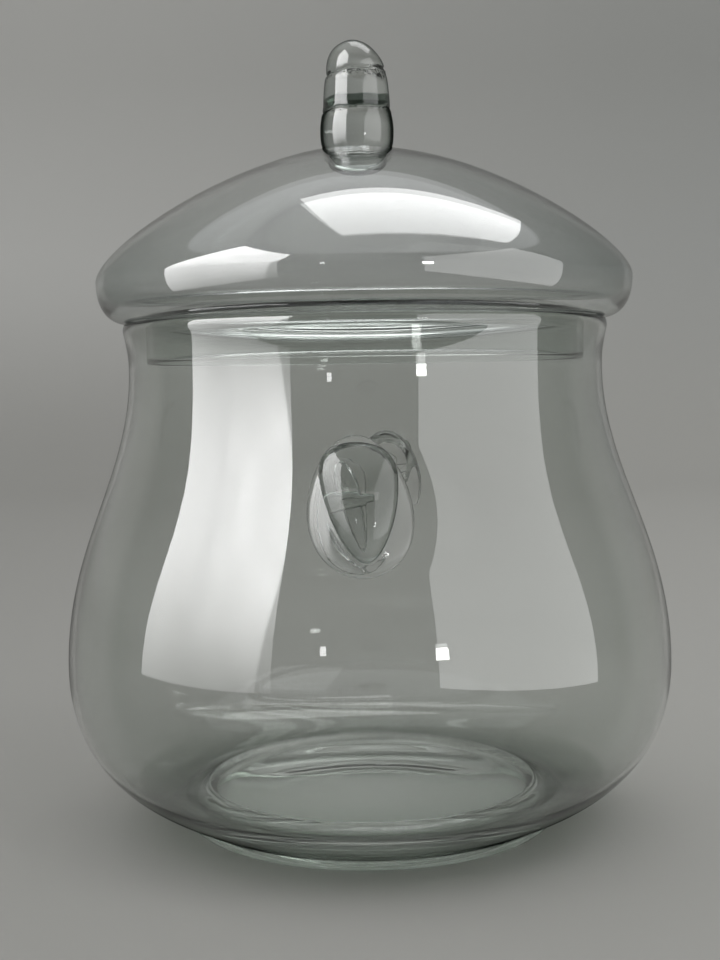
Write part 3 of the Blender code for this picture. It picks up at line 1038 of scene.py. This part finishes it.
def backdrop_paper():
    """Pale grey paper, with light and shade painted into it: lighter up the wall and inside the foot
    ring, where less light falls on it, darker on the floor's left and lighter on the wall's left.
    """
    material, tree, shader = new_material("backdrop_paper")
    shader.inputs["Roughness"].default_value = 0.9
    shader.inputs["Specular IOR Level"].default_value = 0.0
    place = tree.nodes.new("ShaderNodeTexCoord")
    parts = tree.nodes.new("ShaderNodeSeparateXYZ")
    tree.links.new(place.outputs["Object"], parts.inputs[0])
    side, height = parts.outputs["X"], parts.outputs["Z"]
    wall_side = ramp_between(tree, side, -WALL_HALF_WIDTH, WALL_HALF_WIDTH)
    wall = mix_colours(tree, wall_side, WALL_LEFT, WALL_RIGHT)
    floor_side = ramp_between(tree, side, -FLOOR_HALF_WIDTH, FLOOR_HALF_WIDTH)
    floor = mix_colours(tree, floor_side, PAPER_LEFT, PAPER_RIGHT)
    reach = tree.nodes.new("ShaderNodeVectorMath")
    reach.operation = "LENGTH"
    tree.links.new(place.outputs["Object"], reach.inputs[0])
    outside_foot = ramp_between(tree, reach.outputs["Value"], *UNDER_JAR)
    floor = mix_colours(tree, outside_foot, PAPER_UNDER, floor)
    paper = mix_colours(tree, ramp_between(tree, height, *FLOOR_TO_WALL), floor, wall)
    tree.links.new(paper, shader.inputs["Base Color"])
    return material


# ---------------------------------------------------------------- stage


def make_backdrop():
    """A floor that curves up all round, wide enough for a camera to walk round the jar inside it."""
    wall_r = FLOOR_R + BACKDROP_BEND
    line = straight((0.0, 0.0), (FLOOR_R, 0.0), 24)
    line += arc((FLOOR_R, BACKDROP_BEND), BACKDROP_BEND, -90, 0, 32)[1:]
    line += straight((wall_r, BACKDROP_BEND), (wall_r, BACKDROP_TOP), 6)[1:]
    backdrop = lathe("backdrop", [(line, PAPER)], BACKDROP_TURNS)
    backdrop.data.materials.append(backdrop_paper())


def soft_light(name, middle, aim, size, radiance, roll=0.0):
    """A soft rectangular light given by its middle, what it faces, its size and its brightness."""
    width, height = size
    data = bpy.data.lights.new(name, "AREA")
    data.shape = "RECTANGLE"
    data.size = width
    data.size_y = height
    data.energy = radiance * width * height * math.pi
    data.color = WHITE
    lamp = add_object(name, data)
    lamp.location = middle
    facing = (Vector(aim) - Vector(middle)).to_track_quat("-Z", "Y")
    lamp.rotation_mode = "QUATERNION"
    lamp.rotation_quaternion = facing @ Matrix.Rotation(roll, 3, "Z").to_quaternion()
    lamp.visible_camera = False
    return lamp


def reflection_panel(name, **placing):
    """A soft box that shows only as a reflection in the glass."""
    panel = soft_light(name, **placing)
    panel.visible_diffuse = False
    panel.visible_transmission = False
    return panel


def shade_window(panel):
    """Dims a soft box towards the floor and past a slanting line near its front edge, and mottles it."""
    panel.data.use_nodes = True
    tree = panel.data.node_tree
    place = tree.nodes.new("ShaderNodeNewGeometry")
    parts = tree.nodes.new("ShaderNodeSeparateXYZ")
    tree.links.new(place.outputs["Position"], parts.inputs[0])
    along, height = parts.outputs["Y"], parts.outputs["Z"]
    dim, bright = WINDOW_STRENGTHS
    climb = node(tree, "ShaderNodeMapRange", From_Max=WINDOW_BRIGHT_ABOVE, To_Min=dim, To_Max=bright)
    tree.links.new(height, climb.inputs["Value"])
    slant = calculate(tree, "MULTIPLY_ADD", height, WINDOW_SLANT, along)
    lit = ramp_between(tree, slant, WINDOW_EDGE - WINDOW_EDGE_HALF, WINDOW_EDGE + WINDOW_EDGE_HALF)
    lit = calculate(tree, "MULTIPLY_ADD", lit, 1.0 - WINDOW_DIM, WINDOW_DIM)
    sill = calculate(tree, "MULTIPLY_ADD", along, -WINDOW_SILL_SLOPE, height)
    sill = ramp_between(tree, sill, WINDOW_SILL, WINDOW_SILL + WINDOW_SILL_SOFT)
    lit = calculate(tree, "MULTIPLY", lit, sill)
    cloud = node(tree, "ShaderNodeTexNoise", Scale=6.0, Detail=4.0)
    tree.links.new(place.outputs["Position"], cloud.inputs["Vector"])
    cloud = calculate(tree, "MULTIPLY_ADD", cloud.outputs["Fac"], *WINDOW_CLOUD)
    lit = calculate(tree, "MULTIPLY", lit, cloud)
    strength = calculate(tree, "MULTIPLY", lit, climb.outputs["Result"])
    tree.links.new(strength, tree.nodes["Emission"].inputs["Strength"])


def make_lights():
    """Soft boxes left, right and overhead, two small lamps in front, and a fill for the floor."""
    window = reflection_panel(
        "panel_left",
        middle=(-0.525, -0.45, 0.545),
        aim=(0.0, -0.45, 0.545),
        size=(0.72, 1.09),
        radiance=13.5,
    )
    shade_window(window)
    reflection_panel(
        "panel_right",
        middle=(0.587, -0.74, 0.43),
        aim=(0.0, -0.74, 0.43),
        size=(1.28, 0.86),
        radiance=3.5,
    )
    above = reflection_panel(
        "overhead",
        middle=(0.27, 0.294, 1.25),
        aim=(0.27, 0.294, 0.0),
        size=(0.87, 0.66),
        radiance=3.7,
        roll=0.19,
    )
    above.visible_transmission = True
    lamp = reflection_panel(
        "lamp", middle=(0.6, -1.32, 0.26), aim=JAR_MIDDLE, size=(0.11, 0.09), radiance=30.0
    )
    lamp.visible_transmission = True
    reflection_panel(
        "small_lamp", middle=(-0.39, -1.36, 0.3), aim=JAR_MIDDLE, size=(0.05, 0.07), radiance=14.0
    )
    fill = soft_light(
        "fill", middle=(0.75, -0.7, 1.3), aim=(0.75, -0.7, 0.0), size=(0.9, 0.9), radiance=0.95
    )
    fill.visible_glossy = False


def make_world():
    """Even, nearly white light from all round."""
    world = bpy.data.worlds.new("studio")
    bpy.context.scene.world = world
    world.use_nodes = True
    sky = world.node_tree.nodes["Background"]
    sky.inputs["Color"].default_value = (*SKY, 1.0)
    sky.inputs["Strength"].default_value = SKY_STRENGTH


def make_camera():
    """Stands a little below the height of the jar's rim, looks slightly down and leans slightly."""
    data = bpy.data.cameras.new("camera")
    data.sensor_width = CAMERA_SENSOR
    data.lens = CAMERA_LENS
    camera = add_object("camera", data)
    pitch, roll = math.radians(CAMERA_PITCH), math.radians(CAMERA_ROLL)
    level_up = Vector((0.0, math.sin(pitch), math.cos(pitch)))
    right = Vector((math.cos(roll), 0.0, 0.0)) - level_up * math.sin(roll)
    up = Vector((math.sin(roll), 0.0, 0.0)) + level_up * math.cos(roll)
    back = right.cross(up)
    place = Matrix((right, up, back)).transposed().to_4x4()
    place.translation = Vector(CAMERA_PLACE) * MM
    camera.matrix_world = place
    bpy.context.scene.camera = camera


def set_light_paths():
    """Enough bounces for light to find its way through several walls of glass."""
    scene = bpy.context.scene
    scene.cycles.max_bounces = 28
    scene.cycles.transmission_bounces = 28
    scene.cycles.glossy_bounces = 12
    scene.cycles.diffuse_bounces = 4
    scene.cycles.transparent_max_bounces = 32
    scene.cycles.sample_clamp_indirect = 6.0
    scene.view_settings.view_transform = "Standard"


# ---------------------------------------------------------------- the jar


def give_materials(obj, material, seam):
    """Fills a piece's two slots."""
    obj.data.materials.append(material)
    obj.data.materials.append(seam)


def finish_piece(obj, body, cad_node):
    """Smooths a piece, measures its glass, hangs it on what it rides on and hides the CAD node that it
    stands for.
    """
    sharpen(obj)
    measure_depth(obj)
    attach(obj, body)
    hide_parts(cad_node)


def make_body_and_handles(seam):
    """The body and its two handles, which are parted from it along its surface."""
    body = lathe("glass_body", body_section(), TURNS)
    give_materials(body, body_glass(), seam)
    material = handle_glass()
    handles = {}
    for side, turn, drop in HANDLES:
        handle = handle_form("glass_handle_" + side, turn, drop)
        give_materials(handle, material, seam)
        part_from_body(handle, body, seam)
        handles[side] = handle
    finish_piece(body, "jar", "jar_body")
    shade_body(body)
    for side, handle in handles.items():
        finish_piece(handle, "jar", "handle_" + side)
    # painted light: the rear handle is made lighter than the front one
    thin_tint(handles["rear"], REAR_TINT)


def make_foot_ring(seam):
    """The ring that the jar stands on."""
    foot = lathe("glass_foot_ring", foot_section(), TURNS)
    give_materials(foot, foot_glass(), seam)
    finish_piece(foot, "jar", "foot_ring")


def make_dome(seam):
    """The mushroom of the lid."""
    dome = lathe("glass_lid_dome", dome_section(), TURNS)
    give_materials(dome, lid_glass(), seam)
    shape_dome(dome)
    finish_piece(dome, "lid", "lid_dome")
    shade_dome(dome)


def make_collar(seam):
    """The collar that keeps the lid in the mouth."""
    collar = lathe("glass_lid_collar", collar_section(), TURNS)
    give_materials(collar, collar_glass(), seam)
    finish_piece(collar, "lid", "lid_collar")


def make_knob(seam):
    """The knob and its root under the dome."""
    knob = lathe("glass_knob", knob_section(), KNOB_TURNS)
    give_materials(knob, knob_glass(), seam)
    shape_knob(knob)
    finish_piece(knob, "lid", "knob")
    shade_knob(knob)


make_camera()
make_backdrop()
make_lights()
make_world()
set_light_paths()
seam = seam_glass()
for make_part in (make_body_and_handles, make_foot_ring, make_dome, make_collar, make_knob):
    make_part(seam)
